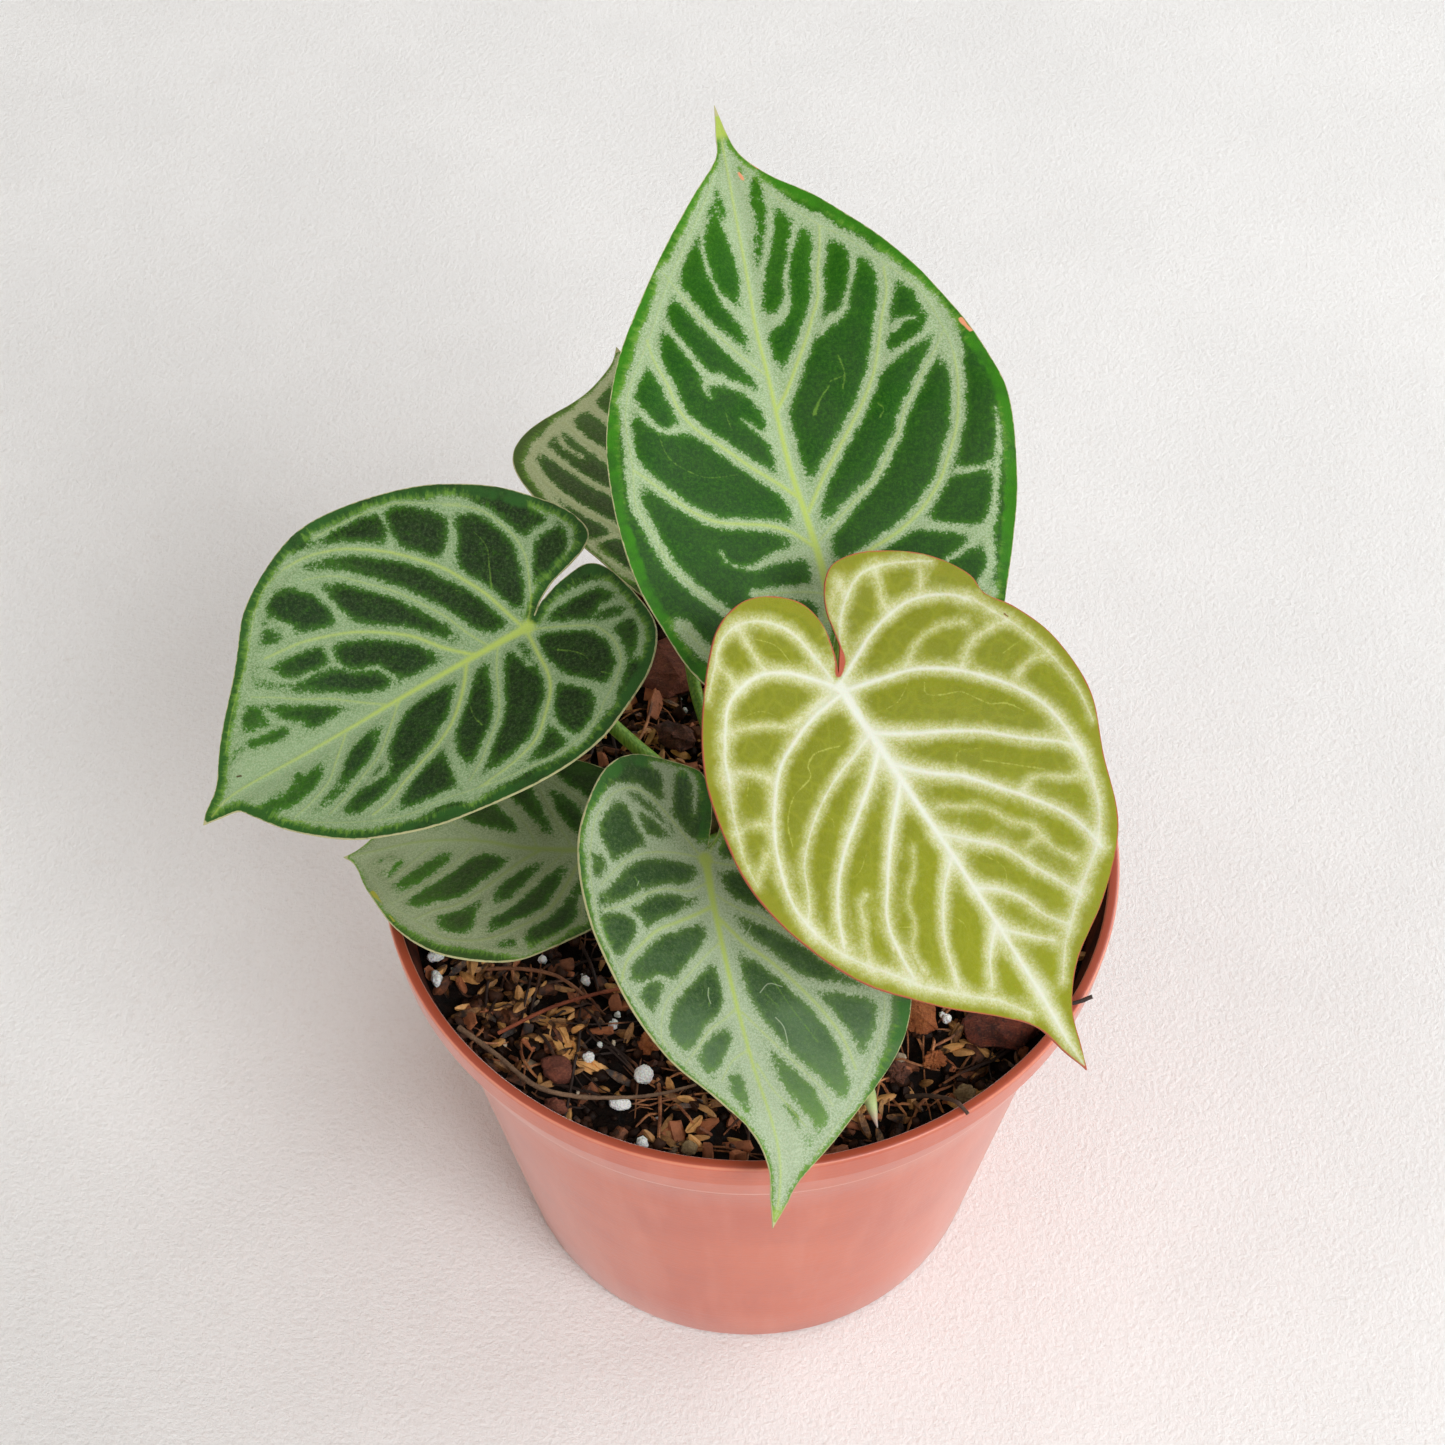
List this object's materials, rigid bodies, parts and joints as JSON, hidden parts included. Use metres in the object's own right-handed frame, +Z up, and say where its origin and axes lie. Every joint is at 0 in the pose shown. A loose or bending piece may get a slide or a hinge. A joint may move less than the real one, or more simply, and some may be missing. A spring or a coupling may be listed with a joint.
{
  "type": "potted dorayaki silver anthurium",
  "caption": "Aroid houseplant with silver-veined, heart-shaped leaves on slender stalks from one crown, in a tapered plastic nursery pot filled with a chunky bark mix.",
  "frame": {"origin": "centre of the pot's flat underside, on the surface that the pot stands on", "axes": "+Z up along the pot's axis; +X to the right and -Y to the front as the plant is pictured, so the largest leaf points back along +Y"},
  "size_m": [0.181, 0.2115, 0.2163],
  "materials": {
    "pot_plastic": "satin moulded terracotta-coloured plastic",
    "potting_mix": "damp bark, husk and coir mix",
    "crown": "short stem with dry scales and roots",
    "sprout": "pale waxy shoot with a pink tip",
    "stalk": "smooth waxy green stalk",
    "mature_leaf": "velvety dark green with silver veins",
    "young_leaf": "thin yellow-green with cream veins and a pink edge",
    "bark": "rough red-brown bark and coir chips",
    "perlite": "matt white expanded grains",
    "twig": "dry brown twig",
    "coir": "red-brown coir fibre"
  },
  "bodies": {
    "root": {"pot": "pot_plastic", "soil": "potting_mix", "crown": "crown", "sprout": "sprout", "stalk_back": "stalk", "stalk_left": "stalk", "stalk_young": "stalk", "stalk_front": "stalk", "stalk_low": "stalk", "stalk_rear": "stalk", "leaf_back": "mature_leaf", "leaf_left": "mature_leaf", "leaf_young": "young_leaf", "leaf_front": "mature_leaf", "leaf_low": "mature_leaf", "leaf_rear": "mature_leaf", "bark_1": "bark", "bark_2": "bark", "bark_3": "bark", "bark_4": "bark", "bark_5": "bark", "bark_6": "bark", "bark_7": "bark", "bark_8": "bark", "bark_9": "bark", "bark_10": "bark", "bark_11": "bark", "bark_12": "bark", "bark_13": "bark", "bark_14": "bark", "perlite_1": "perlite", "perlite_2": "perlite", "perlite_3": "perlite", "perlite_4": "perlite", "perlite_5": "perlite", "perlite_6": "perlite", "perlite_7": "perlite", "perlite_8": "perlite", "perlite_9": "perlite", "twig_front": "twig", "twig_right": "twig", "twig_rim": "twig", "coir_long": "coir", "coir_bright": "coir"}
  },
  "joints": []
}
